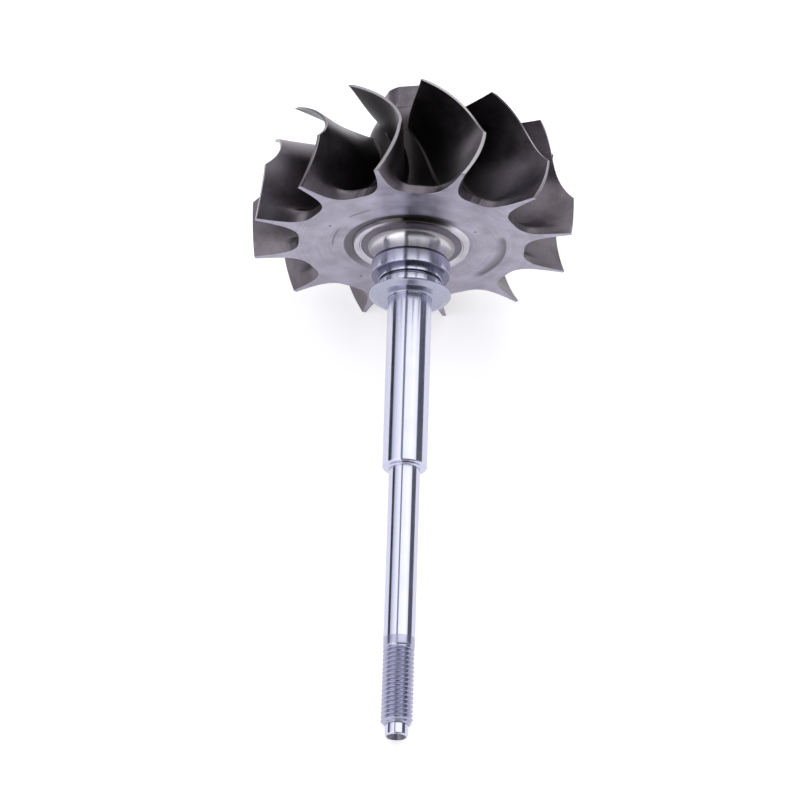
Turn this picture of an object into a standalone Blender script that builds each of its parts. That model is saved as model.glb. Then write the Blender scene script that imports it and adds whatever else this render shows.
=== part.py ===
"""Turbine wheel of a turbocharger with its shaft, lying on a table.

The wheel is a nickel alloy casting: a hub with a hexagonal nose, a scalloped
back disc and twelve thin blades. A turned steel shaft is welded to its back.
Down the shaft come a flared neck, two seal lands with a ring groove between
them, a slinger flange, a bearing journal, a thinner stem and a threaded end.

Every piece is drawn about the rotor's own axis, the local Z axis. Z is zero on
the wheel's back face and grows towards the threaded end. One empty then lays
the rotor down on two neighbouring blade tips and the end of its thread.
"""
import math

import bmesh
import bpy
import numpy as np
from mathutils import Vector

MM = 0.001
DEG = math.radians(1)

# Wheel casting
BLADES = 12
WHEEL_RADIUS = 37.0 * MM
DISC_THICKNESS = 1.8 * MM
INDUCER_WIDTH = 11.7 * MM
EXDUCER_RADIUS = 32.25 * MM
EXDUCER_Z = -25.5 * MM
HUB_END_RADIUS = 10.7 * MM
NOSE_ROOT_Z = -32.0 * MM
NOSE_ROOT_RADIUS = 8.4 * MM
NOSE_CONE = [(9.3 * MM, -30.4 * MM), (10.3 * MM, -27.6 * MM)]
NOSE_END_Z = -37.8 * MM
NOSE_CORNER_RADIUS = 8.0 * MM
NOSE_FLAT_RADIUS = 7.65 * MM
NOSE_CORNER_ANGLE = 13.0 * DEG
NOSE_CHAMFER = 0.4 * MM

# Blades: angle of the blade's middle line from its tip at the back face, along the axis
CAMBER_Z = np.array([0.0, -4.8, -11.7, -20.6, -25.5]) * MM
CAMBER_ANGLE = np.array([0.0, -4.5, -7.75, -0.65, 14.9]) * DEG
ROOT_WRAP = 10.0 * DEG
ROOT_WRAP_POWER = 1.5
BLADE_TIP_THICKNESS = 0.95 * MM
BLADE_ROOT_THICKNESS = 2.1 * MM
BLADE_EXIT_SHARE = 0.75
INDUCER_SHARE = 0.4
BLADE_STEPS_ALONG = 9
BLADE_STEPS_UP = 5
ROOT_GAP = 0.3 * MM

# Curves of the wheel's outlines, as control points of (radius, z)
HUB_CURVE = [(25.8 * MM, -DISC_THICKNESS), (19.0 * MM, -3.6 * MM),
             (11.0 * MM, -11.5 * MM), (HUB_END_RADIUS, EXDUCER_Z)]
SHROUD_CURVE = [(WHEEL_RADIUS, -INDUCER_WIDTH), (31.5 * MM, -16.3 * MM),
                (EXDUCER_RADIUS, -21.8 * MM), (EXDUCER_RADIUS, EXDUCER_Z)]
HUB_STEPS = 10

# Scallops of the back disc, as radius and half width of the web behind each blade
SCALLOP_RADIUS = HUB_CURVE[0][0]
WEB_TIP_HALF = 0.48 * MM
WEB_FILLET_FROM = (31.0 * MM, 1.03 * MM)
WEB_FILLET_CORNER = (27.2 * MM, 1.55 * MM)
WEB_FILLET_TO_ANGLE = 10.5 * DEG
WEB_FILLET_STEPS = 5
RECESS_INNER = 13.7 * MM
RECESS_OUTER = 15.6 * MM
RECESS_DEPTH = 0.4 * MM

# Shaft, as the place along the axis where each stretch ends
WELD_FOOT_RADIUS = 11.4 * MM
WELD_RING_FOOT = (11.6 * MM, 13.6 * MM)
WELD_RING_TOP = (12.0 * MM, 13.2 * MM)
WELD_RING_HEIGHT = 0.45 * MM
FLARE_RADIUS = 10.2 * MM
FLARE_START = 0.4 * MM
NECK_RADIUS = 8.35 * MM
NECK_END = 4.2 * MM
NECK_CURVE = [(FLARE_RADIUS, FLARE_START), (9.0 * MM, 0.6 * MM),
              (NECK_RADIUS, 1.7 * MM), (NECK_RADIUS, NECK_END)]
NECK_STEPS = 7
LAND_RADIUS = 9.0 * MM
LAND_END = 8.2 * MM
LAND_CHAMFER = 0.5 * MM
GROOVE_RADIUS = 6.7 * MM
GROOVE_STEP = (9.3 * MM, 9.4 * MM)
OUTER_LAND_RADIUS = 7.3 * MM
GROOVE_END = 10.0 * MM
OUTER_LAND_END = 12.4 * MM
FLANGE_RADIUS = 9.4 * MM
FLANGE_RIM_Z = 12.6 * MM
FLANGE_SLOPE = [(9.0 * MM, 13.1 * MM), (7.5 * MM, 13.6 * MM), (6.0 * MM, 13.7 * MM), (5.3 * MM, 13.9 * MM)]
FLANGE_END = 14.3 * MM
JOURNAL_RADIUS = 5.0 * MM
JOURNAL_END = 55.4 * MM
SHOULDER_FILLET = 0.3 * MM
STEM_START = JOURNAL_END + SHOULDER_FILLET
STEM_RADIUS = 3.5 * MM
STEM_END = 95.7 * MM
THREAD_RADIUS = 3.45 * MM
THREAD_ROOT_RADIUS = 2.9 * MM
THREAD_PITCH = 1.0 * MM
THREAD_PROFILE = [1.0, 0.5, 0.0, 0.5]
THREAD_CHAMFER_FOOT = 2.7 * MM
THREAD_START = 97.6 * MM
THREAD_END = 115.4 * MM
PILOT_RADIUS = 2.5 * MM
SHAFT_END = 118.0 * MM
CENTRE_HOLE_RADIUS = 0.65 * MM
CENTRE_HOLE_DEPTH = 1.6 * MM
EDGE_BREAK = 0.35 * MM

TURNED_SIDES = 36
THREAD_SIDES = 20
SHARP_EDGE = 30 * DEG
MERGE_DISTANCE = 0.001 * MM


def finish(name, red, green, blue, roughness, metallic):
    """A plain metal finish."""
    made = bpy.data.materials.new(name)
    made.use_nodes = True
    shader = made.node_tree.nodes["Principled BSDF"]
    shader.inputs["Base Color"].default_value = (red, green, blue, 1.0)
    shader.inputs["Roughness"].default_value = roughness
    shader.inputs["Metallic"].default_value = metallic
    made.diffuse_color = (red, green, blue, 1.0)
    return made


def place(name, mesh, material, rotor):
    """Puts a mesh into the scene as a named piece of the rotor."""
    piece = bpy.data.objects.new(name, mesh)
    bpy.context.scene.collection.objects.link(piece)
    mesh.materials.append(material)
    piece.parent = rotor
    return piece


def mesh_from(name, work):
    """Turns a closed bmesh into a mesh, with round faces smooth and real edges sharp."""
    bmesh.ops.recalc_face_normals(work, faces=work.faces)
    mesh = bpy.data.meshes.new(name)
    work.to_mesh(mesh)
    work.free()
    mesh.shade_smooth()
    mesh.set_sharp_from_angle(angle=SHARP_EDGE)
    return mesh


def turned(name, outline, sides=TURNED_SIDES, closed=False):
    """A lathe piece: the outline, as (radius, z) points, spun about the axis."""
    work = bmesh.new()
    points = [work.verts.new((radius, 0.0, z)) for radius, z in outline]
    edges = [work.edges.new(pair) for pair in zip(points, points[1:])]
    if closed:
        edges.append(work.edges.new((points[-1], points[0])))
    bmesh.ops.spin(work, geom=points + edges, cent=(0, 0, 0), axis=(0, 0, 1),
                   angle=2 * math.pi, steps=sides, use_merge=True)
    bmesh.ops.remove_doubles(work, verts=work.verts, dist=MERGE_DISTANCE)
    return mesh_from(name, work)


def lofted(name, rings):
    """A closed piece through rings of equally many points, capped at both ends."""
    work = bmesh.new()
    loops = [[work.verts.new(point) for point in ring] for ring in rings]
    for lower, upper in zip(loops, loops[1:]):
        for i, vert in enumerate(lower):
            j = (i + 1) % len(lower)
            work.faces.new((vert, lower[j], upper[j], upper[i]))
    work.faces.new(loops[0])
    work.faces.new(loops[-1])
    return mesh_from(name, work)


def curve_point(controls, t):
    """A point on the Bezier curve through the first and last control point."""
    points = [Vector(control) for control in controls]
    while len(points) > 1:
        points = [a.lerp(b, t) for a, b in zip(points, points[1:])]
    return points[0]


def steps(count):
    """Evenly spaced values from 0 to 1."""
    return [i / (count - 1) for i in range(count)]


def camber(z):
    """Angle of the blade's middle line at a place along the axis."""
    return float(np.polyval(np.polyfit(CAMBER_Z, CAMBER_ANGLE, len(CAMBER_Z) - 1), z))


def blade_angle(radius, z):
    """Angle of the blade's middle surface: the root is wrapped further round than the tip."""
    depth = max(EXDUCER_RADIUS - radius, 0.0) / (EXDUCER_RADIUS - HUB_END_RADIUS)
    return camber(z) + ROOT_WRAP * depth ** ROOT_WRAP_POWER * z / EXDUCER_Z


def hub_line(t):
    """The hub's gas side, as (radius, z), from the back disc to the exducer."""
    return curve_point(HUB_CURVE, t)


def outer_line(t):
    """The blade's outer edge, as (radius, z): straight across the inducer, then curved."""
    if t < INDUCER_SHARE:
        web_end = Vector((WHEEL_RADIUS, -DISC_THICKNESS))
        return web_end.lerp(Vector((WHEEL_RADIUS, -INDUCER_WIDTH)), t / INDUCER_SHARE)
    return curve_point(SHROUD_CURVE, (t - INDUCER_SHARE) / (1 - INDUCER_SHARE))


def blade():
    """One blade, as two skins either side of its middle surface."""
    along = steps(BLADE_STEPS_ALONG + 1)
    up = steps(BLADE_STEPS_UP + 1)
    grid = np.zeros((len(along), len(up), 2))
    for i, t in enumerate(along):
        root = hub_line(t)
        tip = outer_line(t)
        root = root + (tip - root).normalized() * ROOT_GAP
        for j, v in enumerate(up):
            grid[i, j] = root.lerp(tip, v)
    middle = np.zeros(grid.shape[:2] + (3,))
    for i, j in np.ndindex(grid.shape[:2]):
        radius, z = grid[i, j]
        angle = blade_angle(radius, z)
        middle[i, j] = (radius * math.cos(angle), radius * math.sin(angle), z)
    normals = np.cross(np.gradient(middle, axis=0), np.gradient(middle, axis=1))
    normals /= np.linalg.norm(normals, axis=2, keepdims=True)

    work = bmesh.new()
    skins = []
    for side in (-1, 1):
        skin = {}
        for i, j in np.ndindex(grid.shape[:2]):
            radius, z = grid[i, j]
            angle = blade_angle(radius, z)
            round_way = np.array([-math.sin(angle), math.cos(angle), 0.0])
            thickness = BLADE_ROOT_THICKNESS + (BLADE_TIP_THICKNESS - BLADE_ROOT_THICKNESS) * up[j]
            thickness *= 1 + (BLADE_EXIT_SHARE - 1) * along[i]
            across = abs(float(normals[i, j] @ round_way))
            angle += side * thickness / (2 * radius * across)
            skin[i, j] = work.verts.new((radius * math.cos(angle), radius * math.sin(angle), z))
        skins.append(skin)
    last_i = len(along) - 1
    last_j = len(up) - 1
    for skin in skins:
        for i in range(last_i):
            for j in range(last_j):
                work.faces.new((skin[i, j], skin[i + 1, j], skin[i + 1, j + 1], skin[i, j + 1]))
    rim = [(i, 0) for i in range(last_i)] + [(last_i, j) for j in range(last_j)]
    rim += [(i, last_j) for i in range(last_i, 0, -1)] + [(0, j) for j in range(last_j, 0, -1)]
    left, right = skins
    for a, b in zip(rim, rim[1:] + rim[:1]):
        work.faces.new((left[a], left[b], right[b], right[a]))
    return mesh_from("blade", work)


def star_outline(z):
    """The back disc's outline at a place along the axis: twelve webs and scallops."""
    to = (SCALLOP_RADIUS * math.cos(WEB_FILLET_TO_ANGLE), SCALLOP_RADIUS * math.sin(WEB_FILLET_TO_ANGLE))
    flank = [Vector((WHEEL_RADIUS, WEB_TIP_HALF))]
    flank += [curve_point([WEB_FILLET_FROM, WEB_FILLET_CORNER, to], t) for t in steps(WEB_FILLET_STEPS)]
    web = [(point.x, -point.y) for point in reversed(flank)] + [(point.x, point.y) for point in flank]
    web.append((SCALLOP_RADIUS * math.cos(math.pi / BLADES), SCALLOP_RADIUS * math.sin(math.pi / BLADES)))
    outline = []
    for k in range(BLADES):
        turn = 2 * math.pi * k / BLADES + camber(z)
        for x, y in web:
            outline.append((x * math.cos(turn) - y * math.sin(turn),
                            x * math.sin(turn) + y * math.cos(turn), z))
    return outline


def nose_ring(z, inset):
    """The nose's section: a hexagon whose corners are turned off."""
    ring = []
    flat = math.pi / 3
    for k in range(TURNED_SIDES):
        around = 2 * math.pi * k / TURNED_SIDES
        from_flat = around % flat - flat / 2
        radius = min(NOSE_CORNER_RADIUS, NOSE_FLAT_RADIUS / math.cos(from_flat)) - inset
        angle = around + NOSE_CORNER_ANGLE
        ring.append((radius * math.cos(angle), radius * math.sin(angle), z))
    return ring


def thread():
    """The threaded end: a plain band, the helical thread and a chamfer at its end."""
    rows_per_pitch = len(THREAD_PROFILE)
    count = round((THREAD_END - THREAD_START) / THREAD_PITCH * rows_per_pitch)
    heights = [STEM_END] + [THREAD_START + (THREAD_END - THREAD_START) * t for t in steps(count + 1)]
    rings = []
    for z in heights:
        ring = []
        for k in range(THREAD_SIDES):
            around = k / THREAD_SIDES
            turn = ((z - THREAD_START) / THREAD_PITCH - around) * rows_per_pitch
            low = math.floor(turn)
            share = THREAD_PROFILE[low % rows_per_pitch] * (1 - turn + low)
            share += THREAD_PROFILE[(low + 1) % rows_per_pitch] * (turn - low)
            radius = THREAD_ROOT_RADIUS + (THREAD_RADIUS - THREAD_ROOT_RADIUS) * share
            if z <= THREAD_START:
                radius = THREAD_RADIUS
            radius = min(radius, THREAD_CHAMFER_FOOT + THREAD_END - z)
            angle = 2 * math.pi * around
            ring.append((radius * math.cos(angle), radius * math.sin(angle), z))
        rings.append(ring)
    return lofted("threaded_end", rings)


def shaft_pieces():
    """Names, materials and lathe outlines of the shaft's stretches, from the wheel outwards."""
    neck = [(0, 0), (WELD_FOOT_RADIUS, 0)] + [tuple(curve_point(NECK_CURVE, t)) for t in steps(NECK_STEPS)]
    neck.append((0, NECK_END))
    land = [(0, NECK_END), (LAND_RADIUS - EDGE_BREAK, NECK_END), (LAND_RADIUS, NECK_END + EDGE_BREAK),
            (LAND_RADIUS, LAND_END - LAND_CHAMFER), (LAND_RADIUS - LAND_CHAMFER, LAND_END), (0, LAND_END)]
    groove = [(0, LAND_END), (OUTER_LAND_RADIUS, LAND_END), (OUTER_LAND_RADIUS, GROOVE_STEP[0]),
              (GROOVE_RADIUS, GROOVE_STEP[1]), (GROOVE_RADIUS, GROOVE_END), (0, GROOVE_END)]
    outer_land = [(0, GROOVE_END), (OUTER_LAND_RADIUS, GROOVE_END),
                  (OUTER_LAND_RADIUS, OUTER_LAND_END), (0, OUTER_LAND_END)]
    flange = [(0, OUTER_LAND_END), (FLANGE_RADIUS - EDGE_BREAK, OUTER_LAND_END),
              (FLANGE_RADIUS, FLANGE_RIM_Z)] + FLANGE_SLOPE + [(JOURNAL_RADIUS, FLANGE_END), (0, FLANGE_END)]
    journal = [(0, FLANGE_END), (JOURNAL_RADIUS, FLANGE_END), (JOURNAL_RADIUS, JOURNAL_END - EDGE_BREAK),
               (JOURNAL_RADIUS - EDGE_BREAK, JOURNAL_END), (STEM_RADIUS + SHOULDER_FILLET, JOURNAL_END),
               (STEM_RADIUS, STEM_START), (0, STEM_START)]
    stem = [(0, STEM_START), (STEM_RADIUS, STEM_START), (STEM_RADIUS, STEM_END), (0, STEM_END)]
    hole_floor = SHAFT_END - CENTRE_HOLE_DEPTH
    pilot = [(0, THREAD_END), (PILOT_RADIUS, THREAD_END), (PILOT_RADIUS, SHAFT_END - EDGE_BREAK),
             (PILOT_RADIUS - EDGE_BREAK, SHAFT_END), (2 * CENTRE_HOLE_RADIUS, SHAFT_END),
             (CENTRE_HOLE_RADIUS, SHAFT_END - CENTRE_HOLE_RADIUS), (CENTRE_HOLE_RADIUS, hole_floor),
             (0, hole_floor - CENTRE_HOLE_RADIUS / 2)]
    return [("flared_neck", neck), ("inner_seal_land", land), ("seal_ring_groove", groove),
            ("outer_seal_land", outer_land), ("slinger_flange", flange), ("bearing_journal", journal),
            ("shaft_stem", stem), ("pilot_end", pilot)]


def wheel(rotor):
    """The casting: hub, nose, scalloped back disc and blades."""
    cast = finish("cast_nickel_alloy", 0.09, 0.08, 0.078, 0.55, 0.9)
    machined = finish("machined_back_face", 0.38, 0.37, 0.39, 0.42, 1.0)

    hub = [(0, NOSE_ROOT_Z), (NOSE_ROOT_RADIUS, NOSE_ROOT_Z)] + NOSE_CONE
    hub += [tuple(hub_line(1 - t)) for t in steps(HUB_STEPS)] + [(0, -DISC_THICKNESS)]
    place("hub", turned("hub", hub), cast, rotor)

    rings = [nose_ring(NOSE_ROOT_Z, 0.0), nose_ring(NOSE_END_Z + NOSE_CHAMFER, 0.0),
             nose_ring(NOSE_END_Z, NOSE_CHAMFER)]
    place("hexagon_nose", lofted("hexagon_nose", rings), cast, rotor)

    disc = place("back_disc", lofted("back_disc", [star_outline(-DISC_THICKNESS), star_outline(0.0)]),
                 machined, rotor)
    disc.rotation_euler.z = math.pi / BLADES
    recess = [(RECESS_INNER, -RECESS_DEPTH), (2 * RECESS_OUTER - RECESS_INNER, RECESS_DEPTH),
              (RECESS_INNER, RECESS_DEPTH)]
    cutter = place("recess_cutter", turned("recess_cutter", recess, closed=True), machined, rotor)
    cutter.hide_render = True
    cutter.display_type = "WIRE"
    cut = disc.modifiers.new("turned_recess", "BOOLEAN")
    cut.operation = "DIFFERENCE"
    cut.object = cutter

    mesh = blade()
    for k in range(BLADES):
        piece = place(f"blade_{k + 1:02d}", mesh, cast, rotor)
        piece.rotation_euler.z = math.pi / BLADES + 2 * math.pi * k / BLADES


def shaft(rotor):
    """The turned steel shaft, from the weld at the wheel to its threaded end."""
    polished = finish("ground_steel", 0.72, 0.72, 0.76, 0.12, 1.0)
    dull = finish("rolled_thread_steel", 0.5, 0.5, 0.54, 0.3, 1.0)
    ring = [(WELD_RING_FOOT[0], 0.0), (WELD_RING_FOOT[1], 0.0), (WELD_RING_TOP[1], WELD_RING_HEIGHT),
            (WELD_RING_TOP[0], WELD_RING_HEIGHT)]
    place("weld_ring", turned("weld_ring", ring, closed=True), polished, rotor)
    for name, outline in shaft_pieces():
        place(name, turned(name, outline), polished, rotor)
    place("threaded_end", thread(), dull, rotor)


def lay_down():
    """An empty on the wheel's back face that lays the axis on two blade tips and the thread's end."""
    half_pitch = math.pi / BLADES
    tip_drop = WHEEL_RADIUS * math.cos(half_pitch) + WEB_TIP_HALF * math.sin(half_pitch)
    tilt = math.atan((tip_drop - THREAD_RADIUS) / (THREAD_END - THREAD_PITCH))
    nose_y = -NOSE_END_Z * math.cos(tilt) + (NOSE_CORNER_RADIUS - NOSE_CHAMFER) * math.sin(tilt)
    end_y = -SHAFT_END * math.cos(tilt) - (PILOT_RADIUS - EDGE_BREAK) * math.sin(tilt)
    rotor = bpy.data.objects.new("rotor_axis", None)
    bpy.context.scene.collection.objects.link(rotor)
    rotor.rotation_euler.x = math.pi / 2 + tilt
    rotor.location = (0.0, -(nose_y + end_y) / 2, tip_drop * math.cos(tilt))
    return rotor


def build():
    for old in list(bpy.data.objects):
        bpy.data.objects.remove(old, do_unlink=True)
    rotor = lay_down()
    wheel(rotor)
    shaft(rotor)


build()
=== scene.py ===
"""Looks of a turbocharger's turbine wheel and shaft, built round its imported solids.

The rotor lies on a white table, on two blade tips and the end of its thread. The wheel is a dark
nickel alloy casting with a machined back face, and the shaft is ground and polished steel.
"""
import math

import bpy
import numpy as np
from mathutils import Euler, Matrix, Vector


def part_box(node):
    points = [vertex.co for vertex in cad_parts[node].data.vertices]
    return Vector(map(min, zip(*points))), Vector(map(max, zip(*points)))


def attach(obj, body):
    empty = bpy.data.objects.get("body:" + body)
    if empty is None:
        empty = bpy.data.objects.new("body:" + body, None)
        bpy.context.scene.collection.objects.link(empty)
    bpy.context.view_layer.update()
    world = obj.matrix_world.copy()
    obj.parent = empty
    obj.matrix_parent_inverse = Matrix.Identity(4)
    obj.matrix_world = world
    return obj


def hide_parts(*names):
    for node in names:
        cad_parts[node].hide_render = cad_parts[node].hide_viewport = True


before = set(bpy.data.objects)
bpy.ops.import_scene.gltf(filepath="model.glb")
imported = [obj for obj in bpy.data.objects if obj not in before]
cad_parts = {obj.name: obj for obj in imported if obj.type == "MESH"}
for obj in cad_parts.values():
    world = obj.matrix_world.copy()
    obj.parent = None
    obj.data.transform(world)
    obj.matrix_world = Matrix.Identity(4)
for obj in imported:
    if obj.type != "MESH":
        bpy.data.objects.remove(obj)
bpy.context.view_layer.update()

# Rotor axis
# All of the rotor is turned or cast about one axis, the local Z axis, which starts on the wheel's
# back face and points to the thread. Two round pieces of the shaft show where it lies in the frame.
MM = 0.001
DEG = math.radians(1)
OUTER_LAND_START = 10.0 * MM
OUTER_LAND_END = 12.4 * MM


def middle(node_name):
    """The middle of a CAD node's box, which is on the axis for a plain cylinder."""
    low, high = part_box(node_name)
    return (low + high) / 2


axis = (middle("shaft_stem") - middle("outer_seal_land")).normalized()
across = Vector((1, 0, 0))
rotor = Matrix((across, axis.cross(across), axis)).transposed().to_4x4()
rotor.translation = middle("outer_seal_land") - axis * (OUTER_LAND_START + OUTER_LAND_END) / 2


# Wheel hub
# The core of the wheel, investment cast in a nickel alloy in one piece with its blades. Its gas
# side sweeps from the floor of the scallops to the blades' trailing edges, and on to the nose.
BLADES = 12
PITCH = 2 * math.pi / BLADES
WHEEL_RADIUS = 37.0 * MM
SCALLOP_RADIUS = 25.8 * MM
FACE_SKIN = 0.25 * MM
UNDER_FACE = -0.8 * FACE_SKIN
EXDUCER_Z = -25.5 * MM
HUB_END_RADIUS = 10.7 * MM
HUB_BACK = [(21.0 * MM, -1.7 * MM), (24.7 * MM, UNDER_FACE), (SCALLOP_RADIUS, UNDER_FACE)]
WALL_END_Z = -1.5 * MM
WALL_CORNER = [(SCALLOP_RADIUS, WALL_END_Z), (SCALLOP_RADIUS, -2.4 * MM), (24.6 * MM, -2.7 * MM)]
GAS_SIDE = [WALL_CORNER[-1], (18.6 * MM, -4.2 * MM), (11.0 * MM, -11.5 * MM), (HUB_END_RADIUS, EXDUCER_Z)]
NOSE_ROOT_Z = -31.9 * MM
NOSE_ROOT_RADIUS = 8.4 * MM
NOSE_CONE = [(HUB_END_RADIUS, EXDUCER_Z), (10.7 * MM, -28.2 * MM), (9.5 * MM, -29.6 * MM),
             (9.0 * MM, -31.4 * MM), (NOSE_ROOT_RADIUS, NOSE_ROOT_Z)]
ROUND_SIDES = 192
SHARP_EDGE = 32 * DEG
MOULD_GRAIN = 0.3 * MM
BLAST_CLOUD = 7.0 * MM
# Radii over which the dark skin and painted shade deep in the passages fade out.
SKIN_AND_SHADE_FROM = 14 * MM
SKIN_AND_SHADE_TO = 30 * MM


def colour(code):
    """An sRGB hex colour as linear red, green, blue and alpha."""
    parts = [int(code[i:i + 2], 16) / 255 for i in (0, 2, 4)]
    return [c / 12.92 if c <= 0.04045 else ((c + 0.055) / 1.055) ** 2.4 for c in parts] + [1.0]


def add(tree, kind, inputs=None, output=0, **settings):
    """Adds a node with its settings, and feeds each input with a value, or links it to a socket.
    Returns the output that is asked for."""
    made = tree.nodes.new(kind)
    for key, value in settings.items():
        setattr(made, key, value)
    for key, value in (inputs or {}).items():
        if isinstance(value, bpy.types.NodeSocket):
            tree.links.new(value, made.inputs[key])
        else:
            made.inputs[key].default_value = value
    return made.outputs[output]


def bare_metal(name):
    """A new bare metal, with its node tree, its shader and the place on the rotor."""
    made = bpy.data.materials.new(name)
    made.use_nodes = True
    tree = made.node_tree
    shader = tree.nodes["Principled BSDF"]
    shader.inputs["Metallic"].default_value = 1.0
    return made, tree, shader, add(tree, "ShaderNodeTexCoord", output="Object")


def from_axis(tree, place):
    """How far a place is from the rotor's axis."""
    flat_place = add(tree, "ShaderNodeVectorMath", {0: place, 1: (1, 1, 0)}, operation="MULTIPLY")
    return add(tree, "ShaderNodeVectorMath", {0: flat_place}, "Value", operation="LENGTH")


def cast_nickel_alloy(name, deep_skin_and_shade, dark, light):
    """A nickel alloy investment casting, blasted clean: brownish grey and matt, with the fine grain of
    the ceramic mould and cloudy patches. Deep in the passages, towards the hub, the tone is painted
    darker: partly the dark skin of the casting, left where the blast hardly reached, and partly painted
    shade. The grain, really 0.1 mm, is drawn coarser, so that it shows."""
    made, tree, shader, place = bare_metal(name)
    clouds = add(tree, "ShaderNodeTexNoise",
                 {"Vector": place, "Scale": 1 / BLAST_CLOUD, "Detail": 5.0, "Roughness": 0.6})
    grains = add(tree, "ShaderNodeTexNoise",
                 {"Vector": place, "Scale": 1 / MOULD_GRAIN, "Detail": 3.0, "Roughness": 0.6})
    height = add(tree, "ShaderNodeSeparateXYZ", {"Vector": place}, "Z")
    at_rim = add(tree, "ShaderNodeMapRange",
                 {"Value": from_axis(tree, place), "From Min": SKIN_AND_SHADE_FROM, "From Max": SKIN_AND_SHADE_TO},
                 interpolation_type="SMOOTHSTEP")
    at_nose = add(tree, "ShaderNodeMapRange",
                  {"Value": height, "From Min": EXDUCER_Z, "From Max": NOSE_ROOT_Z},
                  interpolation_type="SMOOTHSTEP")
    # Painted shade: towards the hub, away from the nose, the tone runs to the deep colour, partly the
    # casting's dark skin and partly painted shade.
    blasted_and_lit = add(tree, "ShaderNodeMath", {0: at_rim, 1: at_nose}, operation="MAXIMUM")
    cloudy = add(tree, "ShaderNodeMapRange", {"Value": clouds, "From Min": 0.25, "From Max": 0.75},
                 interpolation_type="SMOOTHSTEP")
    tone = add(tree, "ShaderNodeMix", {"Factor": cloudy, "A": colour(dark), "B": colour(light)}, "Result",
               data_type="RGBA")
    tone = add(tree, "ShaderNodeMix", {"Factor": blasted_and_lit, "A": colour(deep_skin_and_shade), "B": tone}, "Result",
               data_type="RGBA")
    fleck = add(tree, "ShaderNodeMapRange",
                {"Value": grains, "From Min": 0.3, "From Max": 0.7, "To Min": 0.85, "To Max": 1.1})
    tone = add(tree, "ShaderNodeMix", {"Factor": 1.0, "A": tone, "B": fleck}, "Result",
               data_type="RGBA", blend_type="MULTIPLY")
    gloss = add(tree, "ShaderNodeMapRange",
                {"Value": clouds, "From Min": 0.3, "From Max": 0.7, "To Min": 0.34, "To Max": 0.44},
                interpolation_type="SMOOTHSTEP")
    relief = add(tree, "ShaderNodeBump", {"Height": grains, "Strength": 0.45, "Distance": 0.03 * MM})
    tree.links.new(tone, shader.inputs["Base Color"])
    tree.links.new(gloss, shader.inputs["Roughness"])
    tree.links.new(relief, shader.inputs["Normal"])
    return made


def curve(controls, count):
    """Points along the Bezier curve of these control points, as an array of (radius, z)."""
    points = [np.array(controls)] * count
    shares = np.linspace(0, 1, count)
    for _ in range(len(controls) - 1):
        points = [rows[:-1] * (1 - t) + rows[1:] * t for rows, t in zip(points, shares)]
    return np.array([rows[0] for rows in points])


def add_piece(name, points, faces, materials, node, finish=None, crease=SHARP_EDGE):
    """Makes a piece from rotor-local points, lays it in the frame and lets it ride on the rotor.
    finish gives each face the number of its material."""
    mesh = bpy.data.meshes.new(name)
    mesh.from_pydata([tuple(point) for point in points], [], faces)
    mesh.validate()
    for material in materials:
        mesh.materials.append(material)
    if finish is not None:
        mesh.polygons.foreach_set("material_index", finish)
    mesh.shade_smooth()
    mesh.set_sharp_from_angle(angle=crease)
    made = bpy.data.objects.new(name, mesh)
    bpy.context.scene.collection.objects.link(made)
    made.matrix_world = rotor
    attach(made, "root")
    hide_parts(node)


def loft(rings):
    """Points and faces of a closed skin through rings of equally many points."""
    sides = len(rings[0])
    points = np.concatenate(rings)
    faces = []
    for k in range(len(rings) - 1):
        for i in range(sides):
            j = (i + 1) % sides
            faces.append((k * sides + i, k * sides + j, (k + 1) * sides + j, (k + 1) * sides + i))
    faces.append(tuple(range(sides - 1, -1, -1)))
    faces.append(tuple(range(len(points) - sides, len(points))))
    return points, faces


def circle(radius, z, angles):
    """A ring of points about the axis. The radius may be one number or one for each angle."""
    return np.stack([radius * np.cos(angles), radius * np.sin(angles), np.full(len(angles), z)], axis=1)


def turned(name, outline, materials, node, inner_radius=0.0):
    """A lathe piece: its outline, as (radius, z) on the way to the thread, spun about the axis. Inside
    inner_radius it has the second material."""
    angles = np.linspace(0, 2 * math.pi, ROUND_SIDES, endpoint=False)
    points, faces = loft([circle(radius, z, angles) for radius, z in outline])
    finish = []
    for before, after in zip(outline, outline[1:]):
        finish += [int((before[0] + after[0]) / 2 < inner_radius)] * ROUND_SIDES
    add_piece(name, points, faces, materials, node, finish=finish + [0, 0])


casting = cast_nickel_alloy("blasted_nickel_alloy_casting", "353132", "5a5458", "78727a")
wall_corner = curve(WALL_CORNER, 8)
gas_side = np.concatenate([wall_corner, curve(GAS_SIDE, 40)[1:], curve(NOSE_CONE, 14)[1:]])
hub_outline = HUB_BACK + [tuple(point) for point in gas_side]
turned("wheel_hub", hub_outline[::-1], [casting], "hub")


# Hexagonal nose
# The end of the casting, with six flats for the tool that holds the wheel while it is machined.
# The flats run out into the cone of the hub, and the corners between them are turned off.
NOSE_LAP = 0.3 * MM
NOSE_END_Z = -37.8 * MM
NOSE_CORNER_RADIUS = 8.0 * MM
NOSE_TAPER_LENGTH = 2.0 * MM
NOSE_FLAT_RADIUS = 7.6 * MM
NOSE_CORNER_ANGLE = 13.0 * DEG
NOSE_CHAMFER = 0.4 * MM
FLAT_ANGLE = math.pi / 3
FLAT_RUN_OUT = 0.7 * MM
NOSE_SIDES = 240
NOSE_RINGS = 24

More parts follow.
